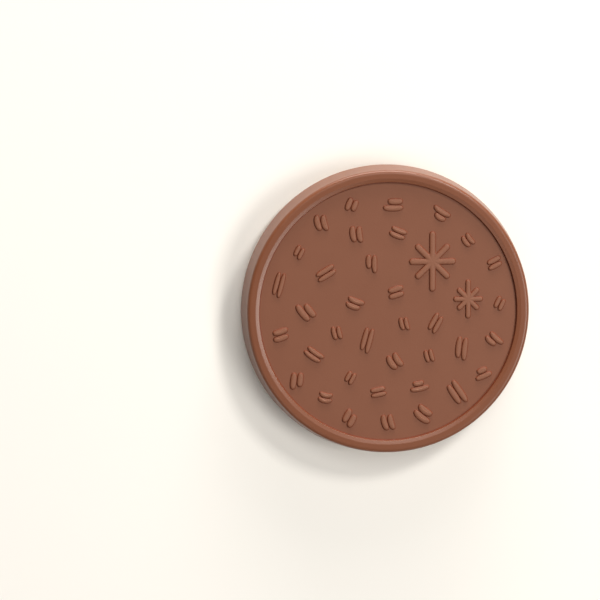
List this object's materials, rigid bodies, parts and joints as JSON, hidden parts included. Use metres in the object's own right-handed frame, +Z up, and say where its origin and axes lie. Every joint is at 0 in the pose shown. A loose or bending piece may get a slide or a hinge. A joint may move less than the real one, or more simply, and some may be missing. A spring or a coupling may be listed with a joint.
{
  "type": "chocolate-backed biscuit",
  "caption": "Round fluted biscuit set in moulded milk chocolate with raised marks and stars, a printed icing sheet on its other face.",
  "frame": {"origin": "centre of the icing's underside, the face that the cookie rests on", "axes": "+Z up towards the moulded chocolate face, +Y towards the end of the larger star's upper long arm"},
  "size_m": [0.0656, 0.0656, 0.0096],
  "materials": {
    "milk_chocolate": "smooth satin milk chocolate",
    "baked_biscuit": "dry golden shortcake biscuit, browner in its grooves",
    "printed_icing": "matte sugar sheet, printed teal inside a thin white edge"
  },
  "bodies": {
    "root": {"chocolate": "milk_chocolate", "biscuit": "baked_biscuit", "icing": "printed_icing"}
  },
  "joints": []
}
